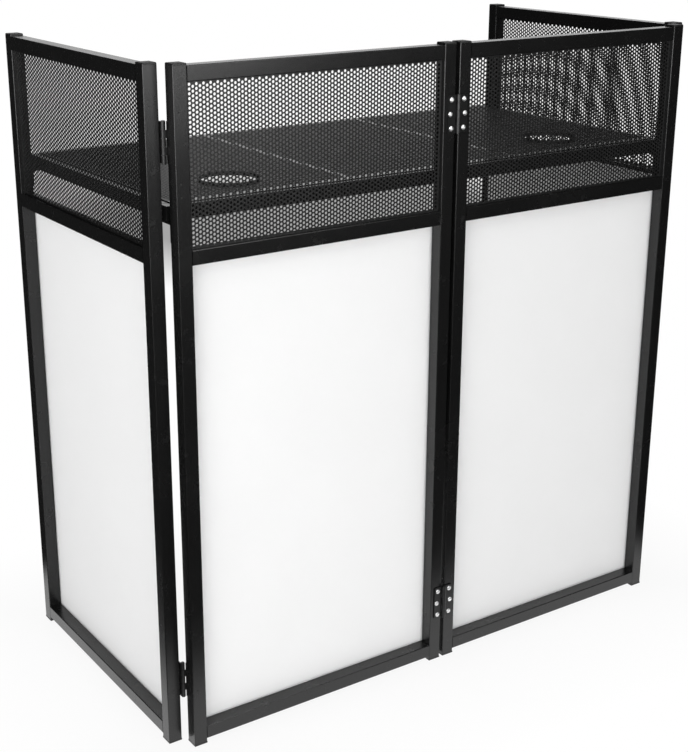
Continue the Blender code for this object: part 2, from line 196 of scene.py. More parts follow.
class Finish:
    """A material being made, with one method that adds any node."""

    def __init__(self, name, colour, roughness, metallic=0.0, specular=0.5):
        self.material = bpy.data.materials.new(name)
        self.material.use_nodes = True
        self.tree = self.material.node_tree
        self.shader = self.tree.nodes["Principled BSDF"]
        self.colour = (*colour, 1.0)
        self.shader.inputs["Base Color"].default_value = self.colour
        self.shader.inputs["Roughness"].default_value = roughness
        self.shader.inputs["Metallic"].default_value = metallic
        self.shader.inputs["Specular IOR Level"].default_value = specular
        self.material.diffuse_color = self.colour

    def node(self, kind, settings, inputs, output=0):
        added = self.tree.nodes.new(kind)
        for name, value in settings.items():
            setattr(added, name, value)
        for name, value in inputs.items():
            if isinstance(value, Signal):
                self.tree.links.new(value.socket, added.inputs[name])
            else:
                added.inputs[name].default_value = value
        return Signal(self, added.outputs[output])

    def place(self):
        return self.node("ShaderNodeTexCoord", {}, {}, "Object")

    def part_of(self, vector, number):
        """One of the three numbers of a vector."""
        return self.node("ShaderNodeSeparateXYZ", {}, {0: vector}, number)

    def noise(self, scale, detail=2.0, roughness=0.5, place=None):
        inputs = {"Vector": place or self.place(), "Scale": scale, "Detail": detail}
        inputs["Roughness"] = roughness
        return self.node("ShaderNodeTexNoise", {}, inputs, "Fac")

    def ramp(self, value, low, high):
        """Rises from 0 to 1 as the value goes from low to high."""
        inputs = {"Value": value, "From Min": low, "From Max": high}
        return self.node("ShaderNodeMapRange", {"clamp": True}, inputs)

    def blend(self, amount, first, second):
        """A colour between two others."""
        inputs = {"Factor": amount, MIX_COLOURS[0]: first, MIX_COLOURS[1]: second}
        return self.node("ShaderNodeMix", {"data_type": "RGBA"}, inputs, MIX_RESULT)

    def bump(self, height, distance, strength):
        inputs = {"Height": height, "Distance": distance, "Strength": strength}
        return self.node("ShaderNodeBump", {}, inputs)

    def feed(self, socket, signal):
        self.tree.links.new(signal.socket, self.shader.inputs[socket])


def tinted(colour, factor):
    """A colour made lighter or darker, and left opaque."""
    return (*(min(1.0, part * factor) for part in colour[:3]), 1.0)


def grey(shade):
    return (shade, shade, shade, 1.0)


def powder_coat_finish():
    """Semi-gloss powder coat: fine orange peel, faint cloudiness and a few dull rubbed places."""
    finish = Finish("powder_coat", colours().coat, 0.34)
    peel = finish.noise(1400.0, 2.0, 0.55)
    cloud = finish.noise(9.0, 3.0, 0.6)
    rubbed = finish.ramp(finish.noise(38.0, 5.0, 0.68), 0.60, 0.74)
    tone = finish.blend(cloud, tinted(finish.colour, 0.8), tinted(finish.colour, 1.25))
    finish.feed("Base Color", finish.blend(rubbed * 0.35, tone, tinted(finish.colour, 2.4)))
    finish.feed("Roughness", cloud * 0.10 + rubbed * 0.10 + 0.21)
    finish.feed("Normal", finish.bump(peel, 0.00012, 0.3))
    return finish.material


def punched_sheet_finish():
    """Satin coat on the punched sheets, slightly drier than on the tubes."""
    finish = Finish("punched_sheet_coat", colours().sheet, 0.4)
    peel = finish.noise(1700.0, 2.0, 0.5)
    cloud = finish.noise(14.0, 3.0, 0.6)
    dust = finish.ramp(finish.noise(60.0, 4.0, 0.7), 0.55, 0.8)
    tone = finish.blend(cloud, tinted(finish.colour, 0.85), tinted(finish.colour, 1.3))
    finish.feed("Base Color", finish.blend(dust * 0.3, tone, tinted(finish.colour, 2.4)))
    finish.feed("Roughness", cloud * 0.12 + 0.32)
    finish.feed("Normal", finish.bump(peel, 0.0001, 0.3))
    return finish.material


def tray_finish():
    """The sheets' coat on the trays: dull between the holes, and polished by use on the plain margins."""
    finish = Finish("tray_coat", colours().sheet, 0.4)
    peel = finish.noise(1700.0, 2.0, 0.5)
    cloud = finish.noise(14.0, 3.0, 0.6)
    seam_from_middle, seam_margin, trays_middle, last_holes = 0.183, 0.0056, 0.0275, 0.2505
    place = finish.place()
    from_seam = abs(abs(finish.part_of(place, 0)) - seam_from_middle)
    from_middle = abs(finish.part_of(place, 1) - trays_middle)
    beside_seam = finish.ramp(from_seam, seam_margin, seam_margin - 0.0012)
    past_holes = finish.ramp(from_middle, last_holes, last_holes + 0.001)
    plain = beside_seam.maths("MAXIMUM", beside_seam, past_holes)
    tone = finish.blend(cloud, tinted(finish.colour, 0.85), tinted(finish.colour, 1.3))
    finish.feed("Base Color", tone)
    finish.feed("Roughness", cloud * 0.06 - plain * 0.26 + 0.42)
    finish.feed("Normal", finish.bump(peel, 0.0001, 0.2))
    return finish.material


def blackened_steel_finish():
    """Hinge leaves and brackets: black oxide over pressed steel, with brighter rubbed patches."""
    finish = Finish("blackened_steel", colours().steel, 0.34, 0.1)
    grain = finish.noise(900.0, 3.0, 0.6)
    rubbed = finish.ramp(finish.noise(120.0, 4.0, 0.7), 0.58, 0.76)
    finish.feed("Base Color", finish.blend(rubbed * 0.5, finish.colour, tinted(finish.colour, 4.0)))
    finish.feed("Roughness", grain * 0.14 + rubbed * 0.06 + 0.26)
    finish.feed("Normal", finish.bump(grain, 0.00008, 0.35))
    return finish.material


def plug_plastic_finish():
    """Moulded plugs and feet, with a fine spark texture."""
    finish = Finish("plug_plastic", colours().plastic, 0.5)
    spark = finish.noise(2600.0, 2.0, 0.6)
    scuff = finish.ramp(finish.noise(140.0, 4.0, 0.7), 0.62, 0.8)
    finish.feed("Base Color", finish.blend(scuff * 0.4, finish.colour, tinted(finish.colour, 3.0)))
    finish.feed("Roughness", spark * 0.12 + scuff * 0.1 + 0.40)
    finish.feed("Normal", finish.bump(spark, 0.00008, 0.4))
    return finish.material


def zinc_finish():
    """Bright zinc plate on the screws, with faint drawn marks."""
    finish = Finish("zinc_plate", colours().zinc, 0.36, 1.0)
    grain = finish.noise(1500.0, 3.0, 0.6)
    stain = finish.noise(300.0, 3.0, 0.6)
    tone = finish.blend(stain, tinted(finish.colour, 0.8), tinted(finish.colour, 1.08))
    finish.feed("Base Color", tone)
    finish.feed("Roughness", grain * 0.12 + 0.32)
    finish.feed("Normal", finish.bump(grain, 0.00004, 0.3))
    return finish.material


def screen_cloth_finish():
    """White two-way stretch knit: fine ribs up the cloth, crossed by courses, on the UV map in metres."""
    finish = Finish("screen_cloth", colours().cloth, 0.86, specular=0.15)
    finish.shader.inputs["Sheen Weight"].default_value = 0.12
    finish.shader.inputs["Sheen Roughness"].default_value = 0.6
    rib_width, course_height = 0.0008, 0.0006
    cloth = finish.node("ShaderNodeUVMap", {"uv_map": "cloth"}, {})
    wales = (finish.part_of(cloth, 0) * (2 * math.pi / rib_width)).maths("SINE")
    courses = (finish.part_of(cloth, 1) * (2 * math.pi / course_height)).maths("SINE")
    knit = wales * courses * 0.5 + wales * 0.5
    cloud = finish.noise(5.0, 3.0, 0.55, cloth)
    tone = finish.blend(cloud, tinted(finish.colour, 0.975), tinted(finish.colour, 1.02))
    finish.feed("Base Color", tone)
    finish.feed("Roughness", knit * 0.04 + 0.86)
    finish.feed("Normal", finish.bump(knit, 0.00012, 0.25))
    return finish.material


# Modelling helpers, each a step done by hand at the bench


def put_down_tools():
    """Leaves edit mode and deselects everything."""
    if bpy.context.object and bpy.context.object.mode != "OBJECT":
        bpy.ops.object.mode_set(mode="OBJECT")
    bpy.ops.object.select_all(action="DESELECT")


def pick_up(piece):
    put_down_tools()
    piece.select_set(True)
    bpy.context.view_layer.objects.active = piece


def choose(piece, elements, test):
    """In edit mode, selects only the faces or edges of a piece that pass a test."""
    kind = {"faces": "FACE", "edges": "EDGE"}[elements]
    bpy.ops.mesh.select_mode(type=kind)
    bpy.ops.mesh.select_all(action="DESELECT")
    shape = bmesh.from_edit_mesh(piece.data)
    for element in getattr(shape, elements):
        if test(element):
            element.select_set(True)
    shape.select_flush_mode()
    bmesh.update_edit_mesh(piece.data)


def upright(edge):
    first, second = edge.verts
    return abs(first.co.z - second.co.z) > (first.co.xy - second.co.xy).length


def apply_modifiers(piece):
    pick_up(piece)
    for modifier in list(piece.modifiers):
        bpy.ops.object.modifier_apply(modifier=modifier.name)


def give_wall(piece, thickness):
    """Thickens an open surface inward, from the face drawn."""
    wall = piece.modifiers.new("wall", "SOLIDIFY")
    wall.thickness = thickness
    wall.offset = -1
    wall.use_even_offset = True
    apply_modifiers(piece)


def round_edges(piece, width, segments, angle=40):
    rounding = piece.modifiers.new("rounding", "BEVEL")
    rounding.width = width
    rounding.segments = segments
    rounding.limit_method = "ANGLE"
    rounding.angle_limit = math.radians(angle)
    apply_modifiers(piece)


def smooth(piece, angle=40):
    """Smooths the rounded places and keeps the flat ones flat."""
    pick_up(piece)
    bpy.ops.object.shade_smooth_by_angle(angle=math.radians(angle))
    level = piece.modifiers.new("level", "WEIGHTED_NORMAL")
    level.keep_sharp = True
    apply_modifiers(piece)


def cut_away(piece, cutter):
    """Cuts one piece out of another, and throws the cutter away."""
    cut = piece.modifiers.new("cut", "BOOLEAN")
    cut.object = cutter
    apply_modifiers(piece)
    bpy.data.objects.remove(cutter)


def named(piece, name):
    piece.name = name
    piece.data.name = name
    return piece


def joined(pieces, name):
    """Several pieces made one, under a name."""
    put_down_tools()
    for piece in pieces:
        piece.select_set(True)
    bpy.context.view_layer.objects.active = pieces[0]
    if len(pieces) > 1:
        bpy.ops.object.join()
    return named(pieces[0], name)


def seated(piece, matrix):
    """Moves a finished piece's mesh to its place, with the object left at the origin."""
    piece.data.transform(matrix @ piece.matrix_world)
    piece.matrix_world = Matrix.Identity(4)
    return piece


def copied(piece, name, matrix):
    """A copy with a mesh of its own, set in place."""
    copy = piece.copy()
    copy.data = piece.data.copy()
    bpy.context.scene.collection.objects.link(copy)
    return seated(named(copy, name), matrix)


def dressed(piece, body, material):
    piece.data.materials.clear()
    piece.data.materials.append(material)
    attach(piece, body)
    return piece


def cube(low, high):
    """A block between two corners, in edit mode and ready to shape."""
    low, high = Vector(low), Vector(high)
    put_down_tools()
    bpy.ops.mesh.primitive_cube_add(size=1, location=(low + high) / 2)
    block = bpy.context.object
    block.scale = high - low
    bpy.ops.object.transform_apply(location=True, rotation=False, scale=True)
    bpy.ops.object.mode_set(mode="EDIT")
    return block


def looking(outward):
    """The turn that makes a piece drawn looking up look another way."""
    return outward.to_track_quat("Z", "Y").to_matrix().to_4x4()


def facing(node, outward):
    """The place of a sheet drawn flat on XY, so that it fills a node's box and looks outward."""
    low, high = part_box(node)
    upward = UP if abs(outward.z) < 0.5 else Vector((0, 1, 0))
    sideways = upward.cross(outward)
    centre = (low + high) / 2
    surface = centre + outward * abs((high - low).dot(outward)) / 2
    axes = Matrix((sideways, upward, outward)).transposed().to_4x4()
    width = abs((high - low).dot(sideways))
    height = abs((high - low).dot(upward))
    return Matrix.Translation(surface) @ axes, width, height


# Tubes and their caps


class FACADE_OT_tubes(bpy.types.Operator):
    """Draw every post, rail and bar as a square tube with rounded corners."""

    bl_idname = "facade.tubes"
    bl_label = "Frame Tubes"

    dent_x: length_property("Dents from middle", -0.5405)
    dent_radius: length_property("Dent tool radius", 0.009)
    dent_depth: length_property("Dent depth", 0.0003)
    dent_heights: bpy.props.FloatVectorProperty(
        name="Dent heights", default=(1.112, 1.004, 0.983, 0.187, 0.112), size=5, unit="LENGTH")

    def execute(self, context):
        coat = powder_coat_finish()
        drawn = {}
        for node, part in frame["nodes"].items():
            if not node.endswith(("_post", "_rail", "_bar")):
                continue
            low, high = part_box(node)
            if node.endswith("_post"):
                high = high - UP * sizes().cap_height
            along = max(range(3), key=lambda axis: high[axis] - low[axis])
            length = round(high[along] - low[along], 6)
            if length not in drawn:
                drawn[length] = self.tube(length)
            end = (low + high) / 2
            end[along] = low[along]
            direction = Vector(int(axis == along) for axis in range(3))
            place = Matrix.Translation(end) @ looking(direction)
            tube = copied(drawn[length], node + "_tube", place)
            if node == "front_left_outer_post":
                self.dent(tube, low.y)
            dressed(tube, part["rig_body"], coat)
            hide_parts(node)
        for tube in drawn.values():
            bpy.data.objects.remove(tube)
        return {"FINISHED"}

    def tube(self, length):
        """An open square tube standing on the origin."""
        half = TUBE_WIDTH / 2
        tube = cube((-half, -half, 0), (half, half, length))
        choose(tube, "faces", lambda face: abs(face.normal.z) > 0.9)
        bpy.ops.mesh.delete(type="FACE")
        choose(tube, "edges", upright)
        bpy.ops.mesh.bevel(offset=sizes().tube_corner, segments=5)
        bpy.ops.object.mode_set(mode="OBJECT")
        give_wall(tube, sizes().tube_wall)
        smooth(tube, 35)
        return tube

    def dent(self, tube, face):
        """Presses the small round marks into the front of the post by the left corner."""
        for height in self.dent_heights:
            put_down_tools()
            centre = (self.dent_x, face - self.dent_radius + self.dent_depth, height)
            bpy.ops.mesh.primitive_uv_sphere_add(
                segments=48, ring_count=32, radius=self.dent_radius, location=centre)
            tool = bpy.context.object
            bpy.ops.object.transform_apply(location=True, rotation=False, scale=False)
            cut_away(tube, tool)
        smooth(tube, 35)


class FACADE_OT_caps(bpy.types.Operator):
    """Cap the posts and plug the open ends of the table's bars."""

    bl_idname = "facade.caps"
    bl_label = "Caps and Plugs"

    seam: length_property("Seam under cap", 0.0002)
    crown: length_property("Cap crown", 0.0004)
    stem: length_property("Cap stem", 0.009)
    clearance: length_property("Clearance", 0.0001)

    def execute(self, context):
        plastic = plug_plastic_finish()
        cap = self.cap()
        plug = self.plug()
        for node, part in frame["nodes"].items():
            low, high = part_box(node)
            if node.endswith("_post"):
                top = Vector(((low.x + high.x) / 2, (low.y + high.y) / 2, high.z))
                piece = copied(cap, node + "_cap", Matrix.Translation(top))
                dressed(piece, part["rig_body"], plastic)
        for bar in ("table_front_bar", "table_rear_bar"):
            low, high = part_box(bar)
            for side, x, outward in (("left", low.x, -1), ("right", high.x, 1)):
                end = Matrix.Translation((x, (low.y + high.y) / 2, (low.z + high.z) / 2))
                piece = copied(plug, f"{bar}_{side}_plug", end @ looking(Vector((outward, 0, 0))))
                dressed(piece, "table", plastic)
        bpy.data.objects.remove(cap)
        bpy.data.objects.remove(plug)
        return {"FINISHED"}

    def cap(self):
        """A square cap with a slightly crowned top at the origin, and a stem that goes down the tube."""
        half = TUBE_WIDTH / 2 - self.clearance
        base = self.seam - sizes().cap_height
        cap = cube((-half, -half, base), (half, half, -self.crown))
        choose(cap, "faces", lambda face: face.normal.z < -0.9)
        bpy.ops.mesh.inset(thickness=sizes().tube_wall + self.seam)
        bpy.ops.mesh.extrude_region_move(TRANSFORM_OT_translate={"value": (0, 0, -self.stem)})
        choose(cap, "faces", lambda face: face.normal.z > 0.9)
        crown_steps = (0.003, 0.004)
        for width in crown_steps:
            bpy.ops.mesh.inset(thickness=width)
            bpy.ops.transform.translate(value=(0, 0, self.crown / len(crown_steps)))

        def outer(edge):
            """True of the cap's four upright corners and the four edges round its top."""
            outside = all(max(abs(v.co.x), abs(v.co.y)) > half - TOUCH for v in edge.verts)
            return outside and (upright(edge) or all(v.co.z > base + TOUCH for v in edge.verts))

        choose(cap, "edges", outer)
        bpy.ops.mesh.bevel(offset=sizes().tube_corner, segments=4)
        bpy.ops.object.mode_set(mode="OBJECT")
        smooth(cap, 45)
        return cap

    def plug(self):
        """A dished insert with its rim flush with the tube's end, looking up."""
        half = TUBE_WIDTH / 2 - sizes().tube_wall - self.clearance
        depth, rim, dish, edge = 0.006, 0.002, 0.0008, 0.0003
        plug = cube((-half, -half, -depth), (half, half, 0))
        choose(plug, "faces", lambda face: face.normal.z > 0.9)
        bpy.ops.mesh.inset(thickness=rim)
        bpy.ops.mesh.inset(thickness=dish, depth=-dish)
        bpy.ops.object.mode_set(mode="OBJECT")
        round_edges(plug, edge, 2)
        return plug


# Punched sheets


def punched_cell(pitch, radius, sides):
    """One hexagon of sheet with a hole in it, whose neighbours sit above and below."""
    put_down_tools()
    bpy.ops.mesh.primitive_circle_add(
        vertices=6, radius=pitch / math.sqrt(3), fill_type="NOTHING", rotation=(0, 0, math.pi / 2))
    cell = bpy.context.object
    bpy.ops.object.transform_apply(location=False, rotation=True, scale=False)
    bpy.ops.object.mode_set(mode="EDIT")
    bpy.ops.mesh.primitive_circle_add(vertices=sides, radius=radius, fill_type="NOTHING")
    bpy.ops.mesh.select_all(action="SELECT")
    bpy.ops.mesh.bridge_edge_loops()
    bpy.ops.object.mode_set(mode="OBJECT")
    return cell


def repeat(piece, count, step):
    rows = piece.modifiers.new("repeat", "ARRAY")
    rows.count = count
    rows.use_relative_offset = False
    rows.use_constant_offset = True
    rows.constant_offset_displace = step
    apply_modifiers(piece)


def punched_field(width, height, margins, sides, hole):
    """The staggered holes that fit a sheet, centred on the origin and clear of a round hole."""
    pitch = sizes().hole_pitch
    radius = sizes().hole_diameter / 2
    column = pitch * math.sqrt(3) / 2
    columns = int((width - 2 * margins[0] - 2 * radius) / column) + 1
    rows = int((height - 2 * margins[1] - 2 * radius) / pitch) + 1
    left = -(columns - 1) * column / 2
    bottom = -(rows - 1) * pitch / 2
    halves = []
    for odd in (0, 1):
        cell = punched_cell(pitch, radius, sides)
        seated(cell, Matrix.Translation((left + odd * column, bottom + odd * pitch / 2, 0)))
        repeat(cell, rows - odd, (0, pitch, 0))
        repeat(cell, (columns + 1 - odd) // 2, (2 * column, 0, 0))
        halves.append(cell)
    field = joined(halves, "punched_field")
    bpy.ops.object.mode_set(mode="EDIT")
    if hole:
        centre, clear = hole
        clear += (pitch - 2 * radius) / 4
        choose(field, "faces", lambda face: any((v.co.xy - centre).length < clear for v in face.verts))
        bpy.ops.mesh.select_linked()
        bpy.ops.mesh.delete(type="VERT")
    bpy.ops.mesh.select_all(action="SELECT")
    bpy.ops.mesh.remove_doubles(threshold=pitch / 100)
    return field


def fill_between(field, near):
    """Fills the sheet between the edge of the cells and the outline beside it."""
    short = sizes().hole_pitch / math.sqrt(3) * 0.8

    def on_outline(edge):
        middle = (edge.verts[0].co.xy + edge.verts[1].co.xy) / 2
        return len(edge.link_faces) < 2 and edge.calc_length() > short and near(middle)

    choose(field, "edges", on_outline)
    bpy.ops.mesh.fill(use_beauty=True)
    bpy.ops.mesh.dissolve_degenerate(threshold=TOUCH)


def punched_sheet(name, width, height, margins, sides, thickness, rim=0.0, hole=None):
    """A punched sheet looking up, with plain margins, and a turned rim or a round hole or neither."""
    field = punched_field(width, height, margins, sides, hole)
    bpy.ops.mesh.select_all(action="DESELECT")
    bpy.ops.mesh.primitive_plane_add(size=1)
    bpy.ops.transform.resize(value=(width, height, 1))
    bpy.ops.mesh.delete(type="ONLY_FACE")
    if hole:
        centre, clear = hole
        beside = clear + 3 * sizes().hole_pitch
        fill_between(field, lambda point: (point - centre).length > beside)
        bpy.ops.mesh.select_all(action="DESELECT")
        bpy.ops.mesh.primitive_circle_add(
            vertices=64, radius=clear, location=(*centre, 0), fill_type="NOTHING")
        fill_between(field, lambda point: (point - centre).length <= beside)
    else:
        fill_between(field, lambda point: True)
    bpy.ops.mesh.select_all(action="SELECT")
    bpy.ops.mesh.normals_make_consistent(inside=False)
    if sum(face.normal.z for face in bmesh.from_edit_mesh(field.data).faces) < 0:
        bpy.ops.mesh.flip_normals()
    if rim:
        across, up = width / 2 - 10 * TOUCH, height / 2 - 10 * TOUCH
        choose(field, "edges", lambda edge: all(abs(v.co.x) > across for v in edge.verts)
               or all(abs(v.co.y) > up for v in edge.verts))
        bpy.ops.mesh.extrude_edges_indiv()
        bpy.ops.transform.translate(value=(0, 0, thickness - rim))
    bpy.ops.object.mode_set(mode="OBJECT")
    give_wall(field, thickness)
    return named(field, name)


class FACADE_OT_grilles(bpy.types.Operator):
    """Make the four punched window grilles."""

    bl_idname = "facade.grilles"
    bl_label = "Window Grilles"

    def execute(self, context):
        material = punched_sheet_finish()
        for panel in PANELS:
            node = panel + "_grille"
            place, width, height = facing(node, OUTWARD[panel])
            low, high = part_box(node)
            rim = abs((high - low).dot(OUTWARD[panel]))
            grille = punched_sheet(
                panel + "_punched_grille", width, height, (sizes().grille_sides, sizes().grille_ends),
                12, sizes().grille_sheet, rim=rim)
            seated(grille, place)
            dressed(grille, panel, material)
            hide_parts(node)
        return {"FINISHED"}


class FACADE_OT_trays(bpy.types.Operator):
    """Make the three punched table trays with their seam flanges and cable rings."""

    bl_idname = "facade.trays"
    bl_label = "Table Trays"

    bare_front: length_property("Bare bar at the front", 0.0125)
    bare_side: length_property("Bare bar at the side", 0.016)
    hole_x: length_property("Cable hole from middle", 0.364)
    hole_back: length_property("Cable hole from front", 0.1245)
    ring_rise: length_property("Ring above table", 0.0045)
    ring_drop: length_property("Ring below table", 0.0035)
    flange: length_property("Seam flange", 0.015)

    def execute(self, context):
        material = tray_finish()
        plastic = plug_plastic_finish()
        for side, name in ((-1, "table_left_tray"), (0, "table_middle_tray"), (1, "table_right_tray")):
            place, width, height = facing(name, UP)
            place.translation.z = TRAY_TOP
            place.translation.x -= side * self.bare_side / 2
            place.translation.y += self.bare_front / 2
            width -= abs(side) * self.bare_side
            height -= self.bare_front
            hole = None
            if side:
                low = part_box(name)[0]
                spot = Vector((side * self.hole_x, low.y + self.hole_back, TRAY_TOP))
                ring = seated(self.ring(), Matrix.Translation(spot))
                named(ring, name.replace("tray", "cable_ring"))
                dressed(ring, "table", plastic)
                outside = sizes().ring_inside + sizes().ring_thick
                hole = ((place.inverted() @ spot).xy, outside)
            tray = punched_sheet(
                name.replace("tray", "punched_tray"), width, height,
                (sizes().tray_sides, sizes().tray_ends), 8, sizes().tray_sheet, hole=hole)
            flanges = [self.seam_flange(edge, width, height) for edge in (-1, 1) if edge != side]
            tray = seated(joined([tray] + flanges, tray.name), place)
            dressed(tray, "table", material)
            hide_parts(name)
        return {"FINISHED"}

    def seam_flange(self, edge, width, height):
        """The turned-down strip along one seam, clear of the bars in front and behind."""
        sheet = sizes().tray_sheet
        rear = height / 2 - TUBE_WIDTH - sheet
        side = sorted((edge * width / 2, edge * (width / 2 - sheet)))
        strip = cube((side[0], -rear - self.bare_front, -self.flange), (side[1], rear, -sheet))
        choose(strip, "edges", lambda edge: all(v.co.z < -2 * sheet for v in edge.verts))
        bpy.ops.mesh.bevel(offset=sheet / 4, segments=2)
        bpy.ops.object.mode_set(mode="OBJECT")
        return strip

    def ring(self):
        """A thin standing ring with rounded rims, round the origin."""
        outside = sizes().ring_inside + sizes().ring_thick
        put_down_tools()
        bpy.ops.mesh.primitive_cylinder_add(
            vertices=64, radius=outside, depth=self.ring_rise + self.ring_drop,
            location=(0, 0, (self.ring_rise - self.ring_drop) / 2), end_fill_type="NOTHING")
        ring = bpy.context.object
        bpy.ops.object.transform_apply(location=True, rotation=False, scale=False)
        give_wall(ring, sizes().ring_thick)
        round_edges(ring, sizes().ring_thick * 0.4, 3)
        smooth(ring)
        return ring


# Stretched screens


class FACADE_OT_screens(bpy.types.Operator):
    """Stretch the four white screens over the backs of their frames."""

    bl_idname = "facade.screens"
    bl_label = "Stretched Screens"

    top_lap: length_property("Further lap on middle rail", 0.011)
    draw: length_property("Draw of the free middle", 0.0007)
    stitch: length_property("Between cloth and hem", 0.0001)

    def execute(self, context):
        material = screen_cloth_finish()
        for panel in PANELS:
            node = panel + "_screen"
            place, width, height = facing(node, OUTWARD[panel])
            place.translation.z += self.top_lap / 2
            height += self.top_lap
            cloth = self.cloth(panel + "_stretched_screen", width, height)
            hem = self.hem(panel + "_screen_hem", width, height)
            for piece in (cloth, hem):
                seated(piece, place)
                dressed(piece, panel, material)
            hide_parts(node)
        return {"FINISHED"}

    def lay_flat(self, piece):
        """Gives a flat piece a UV map in metres."""
        flat = piece.data.uv_layers.new(name="cloth")
        for loop in piece.data.loops:
            flat.data[loop.index].uv = piece.data.vertices[loop.vertex_index].co.xy

    def cloth(self, name, width, height):
        """A taut sheet whose free middle draws back a little."""
        put_down_tools()
        bpy.ops.mesh.primitive_grid_add(x_subdivisions=40, y_subdivisions=64, size=1)
        cloth = named(bpy.context.object, name)
        cloth.scale = (width, height, 1)
        bpy.ops.object.transform_apply(location=False, rotation=False, scale=True)
        self.lay_flat(cloth)
        for vertex in cloth.data.vertices:
            across, up = abs(vertex.co.x) / (width / 2), abs(vertex.co.y) / (height / 2)
            vertex.co.z = -self.draw * (1 - across**6) * (1 - up**8)
        give_wall(cloth, sizes().cloth_thickness)
        bpy.ops.object.shade_smooth()
        return cloth

    def hem(self, name, width, height):
        """The edge of the cloth turned over and sewn, a flat frame behind the sheet."""
        put_down_tools()
        bpy.ops.mesh.primitive_plane_add(size=1)
        hem = named(bpy.context.object, name)
        hem.scale = (width, height, 1)
        hem.location.z = -sizes().cloth_thickness - self.stitch
        bpy.ops.object.transform_apply(location=True, rotation=False, scale=True)
        bpy.ops.object.mode_set(mode="EDIT")
        bpy.ops.mesh.select_all(action="SELECT")
        bpy.ops.mesh.inset(thickness=sizes().hem_width)
        bpy.ops.mesh.delete(type="FACE")
        bpy.ops.object.mode_set(mode="OBJECT")
        self.lay_flat(hem)
        give_wall(hem, sizes().cloth_thickness)
        round_edges(hem, sizes().cloth_thickness * 0.35, 2)
        return hem


# Screws


def pan_screw():
    """A pan head looking up, with a cross recess, standing on the origin."""
    radius = sizes().screw_diameter / 2
    height = sizes().screw_height
    rim = 0.36 * height
    fullness = 2.2
    put_down_tools()
    bpy.ops.mesh.primitive_cylinder_add(
        vertices=24, radius=radius, depth=height, location=(0, 0, height / 2))
    head = bpy.context.object
    bpy.ops.object.transform_apply(location=True, rotation=False, scale=False)
    bpy.ops.object.mode_set(mode="EDIT")
    choose(head, "faces", lambda face: face.normal.z > 0.9)
    for inward in (0.06, 0.12, 0.18, 0.24):
        bpy.ops.mesh.inset(thickness=radius * inward)
    for vertex in bmesh.from_edit_mesh(head.data).verts:
        if vertex.co.z > height / 2:
            out = vertex.co.xy.length / radius
            vertex.co.z = rim + (height - rim) * math.sqrt(max(0.0, 1 - out**fullness))
    bpy.ops.object.mode_set(mode="OBJECT")
    reach, width, depth = radius * 0.5, radius * 0.12, height * 0.55
    for turn in (0, math.pi / 2):
        arm = cube((-reach, -width, depth), (reach, width, height * 1.5))
        bpy.ops.object.mode_set(mode="OBJECT")
        cut_away(head, seated(arm, Matrix.Rotation(turn, 4, "Z")))
    smooth(head, 50)
    return head


class FACADE_OT_screws(bpy.types.Operator):
    """Drive three pan-head screws through each hinge leaf and two through each bracket."""

    bl_idname = "facade.screws"
    bl_label = "Screws"

    leaf: length_property("Leaf thickness", 0.0018)
    bracket: length_property("Bracket thickness", 0.003)
    pitch: length_property("Screw spacing", 0.0247)
    near: length_property("End screws from pin", 0.0135)
    far: length_property("Middle screw from pin", 0.016)
    bracket_drop: length_property("First bracket screw from top", 0.012)
    slot_turn: bpy.props.FloatProperty(name="Turn from screw to screw", default=0.7)

    def execute(self, context):
        zinc = zinc_finish()
        steel = blackened_steel_finish()
        head = pan_screw()
        for node, part in frame["nodes"].items():
            if node.endswith("_leaf"):
                spots, outward = self.leaf_spots(node)
            elif node.endswith("_bracket"):
                spots, outward = self.bracket_spots(node)
            else:
                continue
            screws = []
            for number, spot in enumerate(spots):
                turn = Matrix.Rotation(self.slot_turn * number, 4, "Z")
                place = Matrix.Translation(spot) @ looking(outward) @ turn
                screws.append(copied(head, node + "_screw", place))
            screws = joined(screws, node + "_screws")
            plating = zinc if node.startswith("centre_hinge") else steel
            dressed(screws, part["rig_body"], plating)
        bpy.data.objects.remove(head)
        return {"FINISHED"}

    def on_surface(self, node, spots, outward, thickness):
        """Moves spots onto the free face of a plate that lies on the far side of a node's box."""
        low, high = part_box(node)
        face = min(low.dot(outward), high.dot(outward)) + thickness
        return [spot + outward * (face - spot.dot(outward)) for spot in spots], outward

    def leaf_spots(self, node):
        """Places of a leaf's three screws, counted from its pin."""
        centre = sum(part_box(node), Vector()) / 2
        if node.startswith("centre"):
            joint, outward = "centre_fold", Vector((0, -1, 0))
        else:
            side = node.split("_")[0]
            joint = side + "_wing_fold"
            outward = -OUTWARD[side + "_wing"] if "wing_leaf" in node else Vector((0, 1, 0))
        pin = Vector(next(part["pos_m"] for part in frame["joints"] if part["name"] == joint))
        across = UP.cross(outward)
        across *= math.copysign(1, (centre - pin).dot(across))
        spots = [Vector((pin.x, pin.y, centre.z + row * self.pitch)) + across * reach
                 for row, reach in ((-1, self.near), (0, self.far), (1, self.near))]
        return self.on_surface(node, spots, outward, self.leaf)

    def bracket_spots(self, node):
        """Places of the two screws in a bracket's hanging leg."""
        low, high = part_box(node)
        middle = (low + high) / 2
        spots = [Vector((middle.x, middle.y, high.z - row * self.bracket_drop)) for row in (1, 2)]
        inward = -OUTWARD[node.replace("_table_bracket", "")]
        return self.on_surface(node, spots, inward, self.bracket)


# Pieces that stay as drawn


class FACADE_OT_finishes(bpy.types.Operator):
    """Give the hinges, brackets and feet, which stay as drawn, their finishes."""

    bl_idname = "facade.finishes"
    bl_label = "Frame Finishes"

    def execute(self, context):
        steel = blackened_steel_finish()
        plastic = plug_plastic_finish()
        for node, part in frame["nodes"].items():
            for slot in part.material_slots:
                slot.material = plastic if node.endswith("_foot") else steel
        return {"FINISHED"}


# The studio


